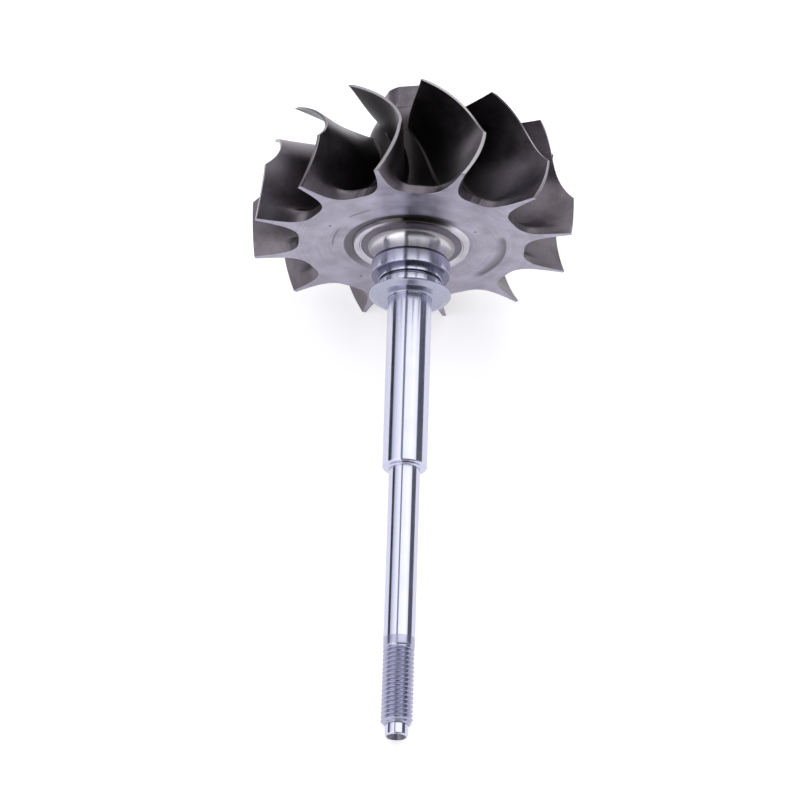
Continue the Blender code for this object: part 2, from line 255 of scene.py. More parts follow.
angles = np.linspace(0, 2 * math.pi, NOSE_SIDES, endpoint=False)
from_flat = (angles - NOSE_CORNER_ANGLE) % FLAT_ANGLE - FLAT_ANGLE / 2
flat = NOSE_FLAT_RADIUS / np.cos(from_flat)
nose_rings = []
for z in np.linspace(NOSE_ROOT_Z + NOSE_LAP, NOSE_END_Z + NOSE_CHAMFER, NOSE_RINGS):
    past_root = max(0.0, NOSE_ROOT_Z - z)
    taper = min(1.0, past_root / NOSE_TAPER_LENGTH)
    round_radius = NOSE_ROOT_RADIUS - (NOSE_ROOT_RADIUS - NOSE_CORNER_RADIUS) * taper
    open_flat = flat + (NOSE_ROOT_RADIUS - NOSE_FLAT_RADIUS) * max(0.0, 1 - past_root / FLAT_RUN_OUT) ** 2
    nose_rings.append(circle(np.minimum(round_radius, open_flat), z, angles))
end_radius = np.minimum(NOSE_CORNER_RADIUS, flat)
nose_rings.append(circle(end_radius - 0.4 * NOSE_CHAMFER, NOSE_END_Z + 0.15 * NOSE_CHAMFER, angles))
nose_rings.append(circle(end_radius - NOSE_CHAMFER, NOSE_END_Z, angles))
points, faces = loft(nose_rings[::-1])
# The nose stood free in the blast and has no painted shade, so it is lighter than the passages and more even.
nose_casting = cast_nickel_alloy("open_blasted_nickel_alloy", "625c62", "625c62", "7b757c")
add_piece("hexagonal_nose", points, faces, [nose_casting], "hexagon_nose", crease=20 * DEG)


# Blades
# Twelve thin blades, cast with the hub. Each leans back from its web, bends round in the passage and
# curls over at the exducer. Their outer edges are ground to the housing's contour, so these are bright.
CAMBER_Z = np.array([0.0, -4.8, -11.7, -20.6, -25.5]) * MM
CAMBER_ANGLE = np.array([0.0, -4.5, -7.75, -0.65, 14.9]) * DEG
CAMBER = np.polyfit(CAMBER_Z, CAMBER_ANGLE, len(CAMBER_Z) - 1)
ROOT_WRAP = 10.0 * DEG
ROOT_WRAP_POWER = 1.5
INDUCER_WIDTH = 11.7 * MM
EXDUCER_RADIUS = 32.25 * MM
SHROUD = [(WHEEL_RADIUS, -INDUCER_WIDTH), (31.5 * MM, -16.3 * MM), (EXDUCER_RADIUS, -21.8 * MM),
          (EXDUCER_RADIUS, EXDUCER_Z)]
WEB_HEAD_Z = -3.2 * MM
TIP_HALF = 0.46 * MM
EXIT_HALF = 0.26 * MM
WEB_FLARE = 4.24 * MM
WEB_FLARE_LENGTH = 1.7 * MM
WEB_FADES_AHEAD = 3
WEB_FADE_STATIONS = 9
TOE_SHARE = 0.2
TOE_HEIGHT = 0.4 * MM
ROOT_FLARE = 0.7 * MM
ROOT_FLARE_LENGTH = 0.35 * MM
ROOT_ROOM = 0.97
PASSAGE_ROOM = 0.985
TRAILING_ROUND = 0.45 * MM
TRAILING_FLARE = 0.3 * TIP_HALF
TRAILING_FILLET = 2.8 * MM
TRAILING_TURNS = np.linspace(0, 0.93, 5) * math.pi / 2
EDGE_BREAK = 0.07 * MM
ROOT_ROWS = np.array([-0.12, 0.0, 0.12, 0.28, 0.5, 0.8, 1.2, 1.7, 2.4, 3.3]) * MM
UPPER_ROWS = 13
INDUCER_STATIONS = 13
SHROUD_STATIONS = 27
GRINDING_LINE = 0.12 * MM


def ground_nickel_alloy():
    """The casting where it was ground to the housing's contour: bright, with fine lines across. They
    are drawn about twice too wide, so that they show."""
    made, tree, shader, place = bare_metal("ground_nickel_alloy")
    shader.inputs["Roughness"].default_value = 0.34
    lines = add(tree, "ShaderNodeTexNoise", {"Vector": place, "Scale": 1 / GRINDING_LINE, "Detail": 2.0})
    tone = add(tree, "ShaderNodeMix", {"Factor": lines, "A": colour("868187"), "B": colour("aaa5ab")},
               "Result", data_type="RGBA")
    relief = add(tree, "ShaderNodeBump", {"Height": lines, "Strength": 0.2, "Distance": 0.01 * MM})
    tree.links.new(tone, shader.inputs["Base Color"])
    tree.links.new(relief, shader.inputs["Normal"])
    return made


def camber(z):
    """Angle of a blade's middle line at a place along the axis."""
    return np.polyval(CAMBER, z)


def blade_angle(radius, z):
    """Angle of the blade's middle surface: its root is wrapped further round than its tip."""
    depth = np.clip((EXDUCER_RADIUS - radius) / (EXDUCER_RADIUS - HUB_END_RADIUS), 0, None)
    return camber(z) + ROOT_WRAP * depth ** ROOT_WRAP_POWER * z / EXDUCER_Z


def half_width(height, full_height, tip_half, flare, flare_length):
    """Half the blade's thickness at a height over the hub: it widens as a hyperbola to its root, and
    its toe runs out into the hub."""
    at_tip = 1 / (full_height + flare_length)
    widening = (1 / (np.clip(height, 0, None) + flare_length) - at_tip) / (1 / flare_length - at_tip)
    toe = TOE_SHARE * np.clip(1 - height / TOE_HEIGHT, 0, 1.3) ** 2
    return tip_half + flare * (widening + toe)


def blade_stations():
    """Foot on the hub, head on the outer edge, tip half width, flare and its length, and how far the
    thickness is measured square to the blade, at each station from the back face to the exducer."""
    wall = [(SCALLOP_RADIUS, z) for z in np.linspace(UNDER_FACE, WALL_END_Z, 3)[:-1]]
    back = np.array(wall + [tuple(point) for point in wall_corner])
    back_heads = np.linspace(UNDER_FACE, WEB_HEAD_Z, len(back))
    inducer_heads = np.linspace(WEB_HEAD_Z, -INDUCER_WIDTH, INDUCER_STATIONS + 1)[1:]
    feet = np.concatenate([back, curve(GAS_SIDE, INDUCER_STATIONS + SHROUD_STATIONS)[1:]])
    heads = [(WHEEL_RADIUS, z) for z in np.concatenate([back_heads, inducer_heads])]
    heads = np.array(heads + [tuple(point) for point in curve(SHROUD, SHROUD_STATIONS)[1:]])
    made = []
    for k, (foot, head) in enumerate(zip(feet, heads)):
        on_web = max(0.0, 1 - max(0, k - len(back) + WEB_FADES_AHEAD) / WEB_FADE_STATIONS)
        on_web = on_web * on_web * (3 - 2 * on_web)
        room = ROOT_ROOM * foot[0] * PITCH / 2
        flare = min(ROOT_FLARE, room - TIP_HALF) * (1 - on_web) + WEB_FLARE * on_web
        length = ROOT_FLARE_LENGTH * (1 - on_web) + WEB_FLARE_LENGTH * on_web
        tip_half = TIP_HALF + (EXIT_HALF - TIP_HALF) * k / (len(heads) - 1)
        made.append([foot, head, tip_half, flare, length, 1 - on_web])
    kept = []
    for station in made:
        to_exit = abs(EXDUCER_Z - station[0][1])
        if to_exit < TRAILING_FILLET:
            station[3] *= math.sqrt(max(0.0, 1 - (1 - to_exit / TRAILING_FILLET) ** 2))
        if to_exit > TRAILING_ROUND or station is made[-1]:
            kept.append(station)
    foot, head, tip_half = kept.pop()[:3]
    for turn in TRAILING_TURNS:
        lift = np.array([0.0, TRAILING_ROUND * (1 - math.sin(turn))])
        kept.append([foot + lift, head + lift, tip_half * math.cos(turn), TRAILING_FLARE * math.cos(turn),
                     ROOT_FLARE_LENGTH, 1.0])
    return kept


def blade_mesh():
    """Points, faces and finishes of one blade with its web, closed under the hub's skin."""
    stations = blade_stations()
    rows = len(ROOT_ROWS) + UPPER_ROWS + 1
    flat_grid = np.zeros((len(stations), rows, 2))
    widths = np.zeros((len(stations), rows))
    for i, (foot, head, tip_half, flare, length, _) in enumerate(stations):
        full = np.linalg.norm(head - foot)
        upper = np.linspace(ROOT_ROWS[-1], full - EDGE_BREAK, UPPER_ROWS + 1)[1:]
        heights = np.concatenate([ROOT_ROWS, upper, [full]])
        flat_grid[i] = foot + heights[:, None] * (head - foot) / full
        widths[i] = half_width(heights, full, tip_half, flare, length)
        widths[i, -1] -= EDGE_BREAK
    radius, z = flat_grid[..., 0], flat_grid[..., 1]
    angle = blade_angle(radius, z)
    middle_skin = np.stack([radius * np.cos(angle), radius * np.sin(angle), z], axis=-1)
    normal = np.cross(np.gradient(middle_skin, axis=0), np.gradient(middle_skin, axis=1))
    normal /= np.linalg.norm(normal, axis=2, keepdims=True)
    round_way = np.stack([-np.sin(angle), np.cos(angle), np.zeros_like(angle)], axis=-1)
    square = np.abs((normal * round_way).sum(axis=2))
    square = 1 + (square - 1) * np.array([station[5] for station in stations])[:, None]
    points = []
    for side in (-1, 1):
        turn = np.clip(widths / (radius * square), 0, PASSAGE_ROOM * PITCH / 2)
        around = angle + side * turn
        skin = np.stack([radius * np.cos(around), radius * np.sin(around), z], axis=-1)
        points.append(skin.reshape(-1, 3))
    per_skin = len(stations) * rows

    def at(side, i, j):
        return side * per_skin + i * rows + j

    faces = []
    finish = []
    last_i = len(stations) - 1
    last_j = rows - 1
    for i in range(last_i):
        for j in range(last_j):
            faces.append((at(0, i, j), at(0, i, j + 1), at(0, i + 1, j + 1), at(0, i + 1, j)))
            faces.append((at(1, i, j), at(1, i + 1, j), at(1, i + 1, j + 1), at(1, i, j + 1)))
            finish += [int(j == last_j - 1)] * 2
        faces.append((at(0, i, last_j), at(1, i, last_j), at(1, i + 1, last_j), at(0, i + 1, last_j)))
        faces.append((at(0, i, 0), at(0, i + 1, 0), at(1, i + 1, 0), at(1, i, 0)))
        finish += [1, 0]
    for j in range(last_j):
        faces.append((at(0, 0, j), at(1, 0, j), at(1, 0, j + 1), at(0, 0, j + 1)))
        faces.append((at(0, last_i, j), at(0, last_i, j + 1), at(1, last_i, j + 1), at(1, last_i, j)))
        finish += [0, 0]
    return np.concatenate(points), faces, finish


ground_edge = ground_nickel_alloy()
points, faces, finish = blade_mesh()
for k in range(BLADES):
    spin = np.array(Matrix.Rotation((k + 0.5) * PITCH, 3, "Z"))
    add_piece(f"turbine_blade_{k + 1:02d}", points @ spin.T, faces, [casting, ground_edge],
              f"blade_{k + 1:02d}", finish=finish, crease=40 * DEG)


# Back disc
# The wheel's flat back, faced on a lathe together with the backs of the twelve webs. Round the weld it
# is turned a little hollow, and near its rim it has a shallow cut, milled when the rotor was balanced.
ON_AXIS = 0.001 * MM
FACE_UNDERSIDE = [(ON_AXIS, -1.8 * MM), (21.5 * MM, -1.8 * MM), (24.9 * MM, -FACE_SKIN)]
FACE_BEVEL = 0.08 * MM
FACE_LOOPS = 46
HOLLOW_INNER = 13.7 * MM
HOLLOW_OUTER = 15.6 * MM
HOLLOW_DEPTH = 0.4 * MM
HOLLOW = [(HOLLOW_OUTER + 0.1 * MM, 0), (HOLLOW_OUTER - 0.1 * MM, -0.03 * MM), (HOLLOW_INNER, -HOLLOW_DEPTH),
          (13.4 * MM, -HOLLOW_DEPTH), (9.5 * MM, -HOLLOW_DEPTH), (ON_AXIS, -HOLLOW_DEPTH)]
CUT_INNER = 18.6 * MM
CUT_OUTER = 21.8 * MM
CUT_WALL = 0.3 * MM
CUT_START = -44.0 * DEG
CUT_END = 20.0 * DEG
CUT_END_LENGTH = 8.0 * DEG
CUT_DEPTH = 0.3 * MM
CUT_SHADE_STRENGTH = 0.85
FACING_RING = 0.22 * MM
FACING_DRIFT = 0.2 * MM
RING_SHARE = 0.35
FACE_CLOUD = 6 * MM
# A stain, or an arc of painted shade, is its colour and strength, its radius, half width and the share of
# that width that is full, its angle, and how far from there it ends and is full.
# Painted shade: the next two darken the hollow round the weld ring on one side, and a patch at the top of the
# ring.
HOLLOW_SHADE = ("645f67", 1.0, 14.3 * MM, 1.4 * MM, 0.7, 150.0 * DEG, 99.8 * DEG, 49.5 * DEG)
TOP_SHADE = ("3b3634", 0.96, 13.6 * MM, 3.0 * MM, 0.4, 86.0 * DEG, 42.0 * DEG, 12.6 * DEG)
MARKS = [("68646c", 0.75, 18.0 * MM, 0.5 * MM, 0.0, 170.5 * DEG, 16.5 * DEG, 8.25 * DEG),
         ("68646c", 0.75, 19.5 * MM, 0.5 * MM, 0.0, 129.5 * DEG, 11.5 * DEG, 5.75 * DEG)]
PITS = [(20.5 * MM, 156.6 * DEG), (19.8 * MM, 236.3 * DEG), (16.4 * MM, 31.0 * DEG)]
PIT_RADIUS = 0.45 * MM
FLANK_STEPS = 22
FLANK_CROWDING = 2.2
FLOOR_STEPS = 6


def lathe_lines(shader, tree, amount):
    """Lets the light stretch across the lines that a lathe or a grinder leaves round the axis."""
    tangent = add(tree, "ShaderNodeTangent", direction_type="RADIAL", axis="Z")
    tree.links.new(tangent, shader.inputs["Tangent"])
    shader.inputs["Anisotropic"].default_value = amount
    shader.inputs["Anisotropic Rotation"].default_value = 0.25


def arc_stain_and_shade(tree, radius, turn, below, arc_tone):
    """The tone below with an arc of another colour about the axis, used for stains and for painted shade."""
    code, strength, arc_radius, half, full_share, angle, end_angle, full_angle = arc_tone
    inward = add(tree, "ShaderNodeMath", {0: radius, 1: arc_radius}, operation="SUBTRACT")
    off_ring = add(tree, "ShaderNodeMath", {0: inward}, operation="ABSOLUTE")
    away = add(tree, "ShaderNodeMath", {0: turn, 1: angle}, operation="SUBTRACT")
    facing = add(tree, "ShaderNodeMath", {0: away}, operation="COSINE")
    across_arc = add(tree, "ShaderNodeMapRange",
                     {"Value": off_ring, "From Min": half, "From Max": full_share * half, "To Max": strength},
                     interpolation_type="SMOOTHSTEP")
    along_arc = add(tree, "ShaderNodeMapRange",
                    {"Value": facing, "From Min": math.cos(end_angle), "From Max": math.cos(full_angle)},
                    interpolation_type="SMOOTHSTEP")
    share = add(tree, "ShaderNodeMath", {0: across_arc, 1: along_arc}, operation="MULTIPLY")
    return add(tree, "ShaderNodeMix", {"Factor": share, "A": below, "B": colour(code)}, "Result",
               data_type="RGBA")


def faced_metal(name, dark, light, rough, stretch=1.0):
    """Metal where a lathe faced it: satin, with fine rings about the axis. The real rings are 0.05 mm
    apart; they are drawn wider, so that they show. Painted shade darkens the hollow on one side of the
    weld ring, a patch at the top of the ring, and the floor of the balance cut. The face has a few pits
    and two faint marks."""
    made, tree, shader, place = bare_metal(name)
    lathe_lines(shader, tree, stretch)
    radius = from_axis(tree, place)
    xyz = add(tree, "ShaderNodeSeparateXYZ", {"Vector": place}).node.outputs
    flat_place = add(tree, "ShaderNodeCombineXYZ", {"X": xyz["X"], "Y": xyz["Y"]})
    turn = add(tree, "ShaderNodeMath", {0: xyz["Y"], 1: xyz["X"]}, operation="ARCTAN2")
    slow_turn = add(tree, "ShaderNodeMath", {0: turn, 1: FACING_DRIFT}, operation="MULTIPLY")
    ring_place = add(tree, "ShaderNodeCombineXYZ", {"X": radius, "Y": slow_turn})
    rings = add(tree, "ShaderNodeTexNoise",
                {"Vector": ring_place, "Scale": 1 / FACING_RING, "Detail": 3.0, "Roughness": 0.65})
    clouds = add(tree, "ShaderNodeTexNoise", {"Vector": place, "Scale": 1 / FACE_CLOUD, "Detail": 5.0})
    share = add(tree, "ShaderNodeMix", {"Factor": 1 - RING_SHARE, "A": rings, "B": clouds}, data_type="FLOAT")
    share = add(tree, "ShaderNodeMapRange", {"Value": share, "From Min": 0.3, "From Max": 0.7},
                interpolation_type="SMOOTHSTEP")
    tone = add(tree, "ShaderNodeMix", {"Factor": share, "A": colour(dark), "B": colour(light)}, "Result",
               data_type="RGBA")
    for mark in MARKS:
        tone = arc_stain_and_shade(tree, radius, turn, tone, mark)
    for pit_radius, pit_angle in PITS:
        pit = Vector((pit_radius * math.cos(pit_angle), pit_radius * math.sin(pit_angle), 0))
        away = add(tree, "ShaderNodeVectorMath", {0: flat_place, 1: pit}, "Value", operation="DISTANCE")
        in_pit = add(tree, "ShaderNodeMapRange",
                     {"Value": away, "From Min": PIT_RADIUS, "From Max": 0.3 * PIT_RADIUS},
                     interpolation_type="SMOOTHSTEP")
        tone = add(tree, "ShaderNodeMix", {"Factor": in_pit, "A": tone, "B": colour("4b4648")}, "Result",
                   data_type="RGBA")
    # Painted shade: the floor of the balance cut is painted a darker grey.
    cut_half = (CUT_END - CUT_START) / 2
    from_cut = add(tree, "ShaderNodeMath", {0: turn, 1: CUT_START + cut_half}, operation="SUBTRACT")
    facing = add(tree, "ShaderNodeMath", {0: from_cut}, operation="COSINE")
    cut_shade = add(tree, "ShaderNodeMapRange",
                 {"Value": facing, "From Min": math.cos(cut_half),
                  "From Max": math.cos(cut_half - CUT_END_LENGTH), "To Max": CUT_SHADE_STRENGTH},
                 interpolation_type="SMOOTHSTEP")
    for cut_side in (CUT_INNER, CUT_OUTER):
        past_side = add(tree, "ShaderNodeMapRange",
                        {"Value": radius, "From Min": cut_side, "From Max": CUT_OUTER - CUT_WALL},
                        interpolation_type="SMOOTHSTEP")
        cut_shade = add(tree, "ShaderNodeMath", {0: cut_shade, 1: past_side}, operation="MULTIPLY")
    tone = add(tree, "ShaderNodeMix", {"Factor": cut_shade, "A": tone, "B": colour("65626a")}, "Result",
               data_type="RGBA")
    # Painted shade in the hollow on one side of the weld ring and in a patch at the top of the ring.
    for arc_tone in (HOLLOW_SHADE, TOP_SHADE):
        tone = arc_stain_and_shade(tree, radius, turn, tone, arc_tone)
    gloss = add(tree, "ShaderNodeMapRange", {"Value": clouds, "From Min": 0.3, "From Max": 0.7,
                                             "To Min": rough - 0.05, "To Max": rough + 0.05},
                interpolation_type="SMOOTHSTEP")
    tree.links.new(tone, shader.inputs["Base Color"])
    tree.links.new(gloss, shader.inputs["Roughness"])
    return made


def star_ring(z, inset):
    """The back face's outline at a place along the axis, shrunk by an inset, with the angle of each
    point: webs and scallops."""
    full = WHEEL_RADIUS - SCALLOP_RADIUS
    heights = full * np.concatenate([np.linspace(0, 1, FLANK_STEPS)[:-1] ** FLANK_CROWDING, [1.0]])
    halves = half_width(heights, full, TIP_HALF, WEB_FLARE, WEB_FLARE_LENGTH) - inset
    radii = SCALLOP_RADIUS + heights - inset
    turns = halves / radii
    flank = np.stack([radii, turns], axis=1)
    floor = [(SCALLOP_RADIUS - inset, turn) for turn in np.linspace(turns[0], PITCH / 2, FLOOR_STEPS)[1:]]
    lobe = np.concatenate([np.array(floor[::-1]) * (1, -1), flank * (1, -1), flank[::-1], floor[:-1]])
    rows = []
    for k in range(BLADES):
        for radius, turn in lobe:
            rows.append((radius, turn + (k + 0.5) * PITCH + camber(z)))
    radius, angle = np.array(rows).T
    return circle(radius, z, angle), angle


def balance_cut(radius, angle):
    """Depth of the balance cut at a place on the face: it has a steep wall on its outer side and runs
    out gently towards the hub and at its ends."""
    turn = (angle + math.pi) % (2 * math.pi) - math.pi
    ends = np.clip((CUT_END - turn) / CUT_END_LENGTH, 0, 1)
    ends = ends * np.clip((turn - CUT_START) / CUT_END_LENGTH, 0, 1)
    ramp = np.clip((radius - CUT_INNER) / (CUT_OUTER - CUT_WALL - CUT_INNER), 0, 1)
    wall = np.clip((CUT_OUTER - radius) / CUT_WALL, 0, 1)
    return CUT_DEPTH * ends * np.minimum(ramp, wall)


rim_loops = [star_ring(-FACE_SKIN, 0.0)[0], star_ring(-FACE_BEVEL, 0.0)[0], star_ring(0.0, FACE_BEVEL)[0]]
face_angles = star_ring(0.0, FACE_BEVEL)[1]
loops = [circle(radius, z, face_angles) for radius, z in FACE_UNDERSIDE] + rim_loops
for radius in np.linspace(SCALLOP_RADIUS - 3 * FACE_BEVEL, HOLLOW_OUTER + 0.3 * MM, FACE_LOOPS):
    loop = circle(radius, 0.0, face_angles)
    loop[:, 2] -= balance_cut(radius, face_angles)
    loops.append(loop)
loops += [circle(radius, z, face_angles) for radius, z in HOLLOW]
points, faces = loft(loops)
rough_sides = 4 * len(face_angles)
finish = [1] * rough_sides + [0] * (len(faces) - rough_sides - 2) + [1, 1]
faced_back = faced_metal("faced_nickel_alloy", "8d8995", "b4b0c0", 0.36, stretch=0.9)
add_piece("back_face", points, faces, [faced_back, casting], "back_disc", finish=finish,
          crease=25 * DEG)


# Weld ring
# A low ring that is left round the weld when the shaft has been welded to the wheel and the joint is
# turned clean. Its flat top is bright, and its outer side dips into the hollow of the disc.
WELD_RING = [(11.45 * MM, -0.45 * MM), (11.45 * MM, 0.02 * MM), (11.75 * MM, 0.05 * MM),
             (12.0 * MM, 0.39 * MM), (12.4 * MM, 0.45 * MM), (12.8 * MM, 0.45 * MM), (13.1 * MM, 0.35 * MM),
             (13.6 * MM, -0.3 * MM), (13.6 * MM, -0.45 * MM)]
CORNER_SHARE = 0.45


def rounded(outline, radius, count=4):
    """The outline with each inner corner replaced by an arc of this radius, or as much as fits."""
    corners = [np.array(point) for point in outline]
    made = [corners[0]]
    for before, at, after in zip(corners, corners[1:], corners[2:]):
        to_before, to_after = before - at, after - at
        length_before, length_after = np.linalg.norm(to_before), np.linalg.norm(to_after)
        cut = min(radius, CORNER_SHARE * length_before, CORNER_SHARE * length_after)
        start, end = at + to_before / length_before * cut, at + to_after / length_after * cut
        for t in np.linspace(0, 1, count):
            made.append((1 - t) ** 2 * start + 2 * t * (1 - t) * at + t ** 2 * end)
    made.append(corners[-1])
    return [tuple(point) for point in made]


# The ring was turned last, with a fine feed, so it is brighter and glossier than the face.
bright_ring = faced_metal("finely_turned_nickel_alloy", "aba8b0", "cbc8d1", 0.2)
turned("weld_ring_turned", rounded(WELD_RING, 0.3 * MM, 6), [bright_ring], "weld_ring")


# Shaft collar
# The foot of the shaft: a satin foot at the weld, a polished flare, the inner seal land, the groove for a
# piston ring with the step beside it, the outer land and the slinger flange. All are turned on one steel
# shaft and the lands are ground. The chamfers and the groove's floor are painted darker, as painted shade.
WELD_FOOT_RADIUS = 11.4 * MM
SATIN_FROM = 9.9 * MM
FLARE_RADIUS = 10.2 * MM
FLARE_START = 0.4 * MM
NECK_RADIUS = 8.35 * MM
NECK_END = 4.2 * MM
NECK_CURVE = [(FLARE_RADIUS, FLARE_START), (9.0 * MM, 0.6 * MM), (NECK_RADIUS, 1.7 * MM),
              (NECK_RADIUS, NECK_END)]
DULL_END_FROM = 8.8 * MM
DULL_END_TO = 9.4 * MM
LAND_RADIUS = 9.0 * MM
LAND_END = 8.2 * MM
LAND_BACK = (8.66 * MM, 5.0 * MM)
LAND_CHAMFER = 0.28 * MM
STEP_RADIUS = 7.3 * MM
STEP_BREAK = 0.15 * MM
GROOVE_RADIUS = 6.7 * MM
GROOVE_STEP = (9.3 * MM, 9.4 * MM)
FLANGE_RADIUS = 9.4 * MM
FLANGE_BEVEL = 0.3 * MM
FLANGE_RIM_Z = 12.6 * MM
FLANGE_END = 14.3 * MM
JOURNAL_RADIUS = 5.0 * MM
FLANGE_FRONT = [(9.0 * MM, 12.95 * MM), (7.75 * MM, 13.48 * MM), (7.6 * MM, 13.64 * MM),
                (7.42 * MM, 13.44 * MM), (5.6 * MM, 13.45 * MM), (5.1 * MM, 13.6 * MM),
                (JOURNAL_RADIUS, 13.9 * MM)]
LAP = 0.05 * MM
GRINDING_RING = 0.15 * MM
GRINDING_DRIFT = 0.6 * MM
STEEL_CLOUD = 6 * MM


def worked_steel(name, dark, light, rough, line, stretch=1.0, dull_end=None):
    """Hardened steel, turned or ground between centres: a mirror with a cool tint where it is polished,
    with very fine lines round the shaft. They are drawn a few times too wide, so that they show. The
    last colour, if given, is a duller, darker one for the wide end of the flare."""
    made, tree, shader, place = bare_metal(name)
    lathe_lines(shader, tree, stretch)
    xyz = add(tree, "ShaderNodeSeparateXYZ", {"Vector": place}).node.outputs
    turn = add(tree, "ShaderNodeMath", {0: xyz["Y"], 1: xyz["X"]}, operation="ARCTAN2")
    slow_turn = add(tree, "ShaderNodeMath", {0: turn, 1: GRINDING_DRIFT}, operation="MULTIPLY")
    line_place = add(tree, "ShaderNodeCombineXYZ", {"X": xyz["Z"], "Y": slow_turn})
    lines = add(tree, "ShaderNodeTexNoise",
                {"Vector": line_place, "Scale": 1 / line, "Detail": 4.0, "Roughness": 0.7})
    tone = add(tree, "ShaderNodeMix", {"Factor": lines, "A": colour(dark), "B": colour(light)}, "Result",
               data_type="RGBA")
    if dull_end:
        at_dull_end = add(tree, "ShaderNodeMapRange",
                     {"Value": from_axis(tree, place), "From Min": DULL_END_FROM, "From Max": DULL_END_TO},
                     interpolation_type="SMOOTHSTEP")
        tone = add(tree, "ShaderNodeMix", {"Factor": at_dull_end, "A": tone, "B": colour(dull_end)}, "Result",
                   data_type="RGBA")
    clouds = add(tree, "ShaderNodeTexNoise", {"Vector": place, "Scale": 1 / STEEL_CLOUD, "Detail": 3.0})
    gloss = add(tree, "ShaderNodeMapRange", {"Value": clouds, "From Min": 0.3, "From Max": 0.7,
                                             "To Min": rough * 0.85, "To Max": rough * 1.15},
                interpolation_type="SMOOTHSTEP")
    tree.links.new(tone, shader.inputs["Base Color"])
    tree.links.new(gloss, shader.inputs["Roughness"])
    return made


# The lands, journal and stem are ground: the brightest steel, almost a mirror.
ground_steel = worked_steel("ground_shaft_steel", "b9bacc", "cbccdf", 0.18, GRINDING_RING)
# The neck is polished, and the wide end of its flare is a duller, darker grey.
neck_steel = worked_steel("polished_steel_dull_flare_end", "bbb9c0", "cccad0", 0.2, GRINDING_RING, dull_end="8c888c")
# The groove and the chamfers are painted dark, as painted shade, and are a little less sharp, as they were
# left turned.
shaded_groove_steel = worked_steel("shaded_turned_groove_steel", "64647a", "76768a", 0.25, GRINDING_RING)
# The flange is turned with a finer feed than the groove, and its grey is lighter than the groove's. It is
# painted darker than the ground lands, as painted shade.
slinger_steel = worked_steel("shaded_finely_turned_steel", "989bac", "adadc0", 0.2, GRINDING_RING)
# The foot beside the weld is turned too, and its heat has left it a dark satin.
satin_steel = faced_metal("heat_dulled_turned_steel", "5f5a64", "746e7b", 0.34)

neck = [(ON_AXIS, -0.2 * MM), (WELD_FOOT_RADIUS, -0.2 * MM), (WELD_FOOT_RADIUS, 0.05 * MM)]
neck += [tuple(point) for point in curve(NECK_CURVE, 24)] + [(ON_AXIS, NECK_END)]
land = [(ON_AXIS, NECK_END), (LAND_BACK[0], NECK_END), (LAND_RADIUS, LAND_BACK[1]),
        (LAND_RADIUS, LAND_END - LAND_CHAMFER), (LAND_RADIUS - LAND_CHAMFER, LAND_END), (ON_AXIS, LAND_END)]
groove = [(ON_AXIS, LAND_END), (STEP_RADIUS, LAND_END), (STEP_RADIUS, GROOVE_STEP[0]),
          (GROOVE_RADIUS, GROOVE_STEP[1]), (GROOVE_RADIUS, OUTER_LAND_START), (ON_AXIS, OUTER_LAND_START)]
outer_land = [(ON_AXIS, OUTER_LAND_START), (STEP_RADIUS - STEP_BREAK, OUTER_LAND_START),
              (STEP_RADIUS, OUTER_LAND_START + STEP_BREAK), (STEP_RADIUS, OUTER_LAND_END + LAP),
              (ON_AXIS, OUTER_LAND_END + LAP)]
flange = [(ON_AXIS, OUTER_LAND_END), (FLANGE_RADIUS - FLANGE_BEVEL, OUTER_LAND_END),
          (FLANGE_RADIUS, FLANGE_RIM_Z)]
flange += FLANGE_FRONT + [(JOURNAL_RADIUS, FLANGE_END), (ON_AXIS, FLANGE_END)]
turned("polished_flare", rounded(neck, 0.05 * MM, 3), [satin_steel, neck_steel],
       "flared_neck", inner_radius=SATIN_FROM)
turned("inner_land", rounded(land, 0.08 * MM), [ground_steel, shaded_groove_steel],
       "inner_seal_land", inner_radius=LAND_RADIUS - 0.02 * MM)
turned("ring_groove", rounded(groove, 0.05 * MM), [ground_steel, shaded_groove_steel],
       "seal_ring_groove", inner_radius=STEP_RADIUS - 0.05 * MM)
turned("outer_land", rounded(outer_land, 0.06 * MM), [ground_steel, shaded_groove_steel],
       "outer_seal_land", inner_radius=STEP_RADIUS - 0.02 * MM)
turned("oil_slinger", rounded(flange, 0.2 * MM, 6), [slinger_steel], "slinger_flange")


# Bearing journal and stem
# The journal runs in the bearings, so it is ground finest. The thinner stem past its shoulder carries
# the compressor wheel, which the nut on the thread pulls against the shoulder.
JOURNAL_END = 55.4 * MM
STEM_START = 55.7 * MM
STEM_RADIUS = 3.5 * MM
STEM_END = 95.7 * MM
SHOULDER_BREAK = 0.35 * MM
SHOULDER_FILLET = 0.3 * MM

journal = [(ON_AXIS, FLANGE_END), (JOURNAL_RADIUS, FLANGE_END),
           (JOURNAL_RADIUS, JOURNAL_END - SHOULDER_BREAK), (JOURNAL_RADIUS - SHOULDER_BREAK, JOURNAL_END),
           (STEM_RADIUS + SHOULDER_FILLET, JOURNAL_END), (STEM_RADIUS, STEM_START), (ON_AXIS, STEM_START)]
stem = [(ON_AXIS, STEM_START), (STEM_RADIUS, STEM_START), (STEM_RADIUS, STEM_END), (ON_AXIS, STEM_END)]
turned("journal", rounded(journal, 0.1 * MM), [ground_steel], "bearing_journal")
turned("stem", stem, [ground_steel], "shaft_stem")


# Threaded end
# A rolled M7 x 1 thread for the compressor nut, right-handed, with the plain band that it starts in.
# Rolling leaves it duller than the ground shaft.
THREAD_RADIUS = 3.45 * MM
THREAD_ROOT_RADIUS = 2.88 * MM
THREAD_PITCH = 1.0 * MM
THREAD_START = 97.6 * MM
THREAD_END = 115.4 * MM
THREAD_CHAMFER_FOOT = 2.65 * MM
CREST_SHARE = 0.2
ROOT_SHARE = 0.25
THREAD_SIDES = 96
RINGS_PER_PITCH = 12
DULL_LINE = 0.3 * MM

